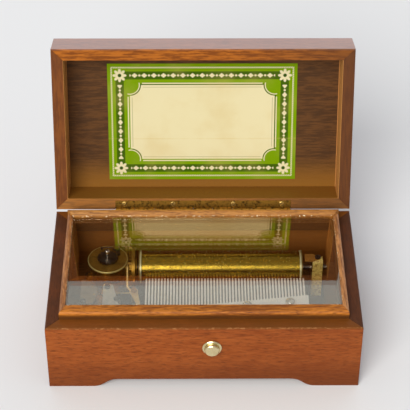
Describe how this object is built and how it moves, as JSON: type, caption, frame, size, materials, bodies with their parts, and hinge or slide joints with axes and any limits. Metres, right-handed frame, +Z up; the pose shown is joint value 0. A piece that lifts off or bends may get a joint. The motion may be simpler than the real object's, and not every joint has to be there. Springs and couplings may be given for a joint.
{
  "type": "music box",
  "caption": "Wooden table music box, lid open, spring-wound pinned cylinder and steel comb under a glass pane, push button in front.",
  "frame": {"origin": "under the middle of the case, in the plane that its feet stand on", "axes": "+X to the right along the cylinder, +Y to the hinges at the back, +Z up"},
  "size_m": [0.178, 0.1574, 0.1435],
  "materials": {
    "case_wood": "satin stain",
    "lid_wood": "satin stain",
    "lid_lining": "dark satin",
    "frame_wood": "satin stain",
    "floor_board": "plain",
    "pane": "clear",
    "hinge_brass": "satin",
    "card": "matt print",
    "button_metal": "satin chrome",
    "bed_metal": "lacquered",
    "comb_steel": "ground",
    "base_metal": "lacquered",
    "lead": "dull",
    "brass": "polished",
    "cast_brass": "cast",
    "cylinder_brass": "lacquered",
    "pin_steel": "bright",
    "spring_steel": "blued",
    "bright_steel": "polished",
    "dark_steel": "blackened",
    "copper": "copper-coloured",
    "plate_metal": "satin"
  },
  "bodies": {
    "case": {"case_front": "case_wood", "case_back": "case_wood", "case_left": "case_wood", "case_right": "case_wood", "floor_panel": "floor_board", "frame_front": "frame_wood", "frame_back": "frame_wood", "frame_left": "frame_wood", "frame_right": "frame_wood", "glass_pane": "pane", "case_hinge_leaf": "hinge_brass", "hinge_pin": "bright_steel", "button_bush": "button_metal", "button_spring": "spring_steel", "bedplate": "bed_metal", "comb": "comb_steel", "comb_base": "base_metal", "comb_screws": "bright_steel", "tuning_leads": "lead", "right_pillar": "cast_brass", "change_finger": "copper", "left_bracket": "cast_brass", "barrel_bridge": "brass", "governor_frame": "cast_brass", "governor_cock": "plate_metal", "train_bridge": "plate_metal", "click_spring": "spring_steel", "lever_post": "brass"},
    "lid": {"lid_front": "lid_wood", "lid_back": "lid_wood", "lid_left": "lid_wood", "lid_right": "lid_wood", "lid_panel": "lid_lining", "label": "card", "lid_hinge_leaf": "hinge_brass"},
    "push_button": {"button": "button_metal"},
    "lever": {"stop_lever": "brass"},
    "barrel": {"barrel_drum": "brass", "barrel_cover": "brass", "mainspring": "spring_steel"},
    "winding": {"winding_arbor": "bright_steel", "ratchet_wheel": "dark_steel", "winding_key": "bright_steel"},
    "pawl": {"click": "dark_steel"},
    "arbor": {"cylinder_arbor": "bright_steel", "cylinder_wheel": "cast_brass", "tune_cam": "brass", "shift_spring": "spring_steel"},
    "cylinder": {"cylinder_tube": "cylinder_brass", "cylinder_cap_left": "brass", "cylinder_cap_right": "brass", "cylinder_pins": "pin_steel"},
    "first_arbor": {"first_wheel": "brass"},
    "second_arbor": {"second_wheel": "brass"},
    "fan_shaft": {"endless_screw": "bright_steel", "fan": "plate_metal"}
  },
  "joints": [
    {"name": "lid_hinge", "type": "hinge", "parent": "case", "child": "lid", "pos_m": [0, 0.0511, 0.0467], "axis": [1, 0, 0], "range_deg": [0, 107.6]},
    {"name": "button_push", "type": "slide", "parent": "case", "child": "push_button", "axis": [0, 1, 0], "range_m": [0, 0.0025], "stiffness_N_per_m": 300, "springref_m": -0.001},
    {"name": "lever_turn", "type": "hinge", "parent": "case", "child": "lever", "pos_m": [-0.041, -0.003, 0.03], "axis": [0, 0, 1], "range_deg": [0, 3.2]},
    {"name": "barrel_turn", "type": "hinge", "parent": "case", "child": "barrel", "pos_m": [-0.0565, 0.0128, 0.031], "axis": [0, 0, 1], "continuous": true},
    {"name": "arbor_turn", "type": "hinge", "parent": "case", "child": "arbor", "pos_m": [0, 0.0128, 0.035], "axis": [1, 0, 0], "continuous": true},
    {"name": "tune_shift", "type": "slide", "parent": "arbor", "child": "cylinder", "axis": [1, 0, 0], "range_m": [0, 0.0012], "stiffness_N_per_m": 500, "springref_m": -0.002},
    {"name": "first_turn", "type": "hinge", "parent": "case", "child": "first_arbor", "pos_m": [-0.0653, -0.0008, 0.023], "axis": [0, 0, 1], "continuous": true},
    {"name": "second_turn", "type": "hinge", "parent": "case", "child": "second_arbor", "pos_m": [-0.06408, -0.0077, 0.023], "axis": [0, 0, 1], "continuous": true},
    {"name": "fan_turn", "type": "hinge", "parent": "case", "child": "fan_shaft", "pos_m": [-0.06408, -0.0139, 0.0272], "axis": [1, 0, 0], "continuous": true},
    {"name": "winding_turn", "type": "hinge", "parent": "case", "child": "winding", "pos_m": [-0.0565, 0.0128, 0.031], "axis": [0, 0, 1], "continuous": true},
    {"name": "click_lift", "type": "hinge", "parent": "case", "child": "pawl", "pos_m": [-0.0517, 0.02111, 0.0423], "axis": [0, 0, 1], "range_deg": [0, 8], "stiffness_Nm_per_rad": 0.001, "springref_deg": -5.73}
  ],
  "couplings": [
    {"joint": "lever_turn", "follows": "button_push", "rad_per_m": 22},
    {"joint": "arbor_turn", "follows": "barrel_turn", "ratio": 1.2222},
    {"joint": "first_turn", "follows": "barrel_turn", "ratio": -4.4},
    {"joint": "second_turn", "follows": "barrel_turn", "ratio": 11},
    {"joint": "fan_turn", "follows": "barrel_turn", "ratio": -220}
  ]
}
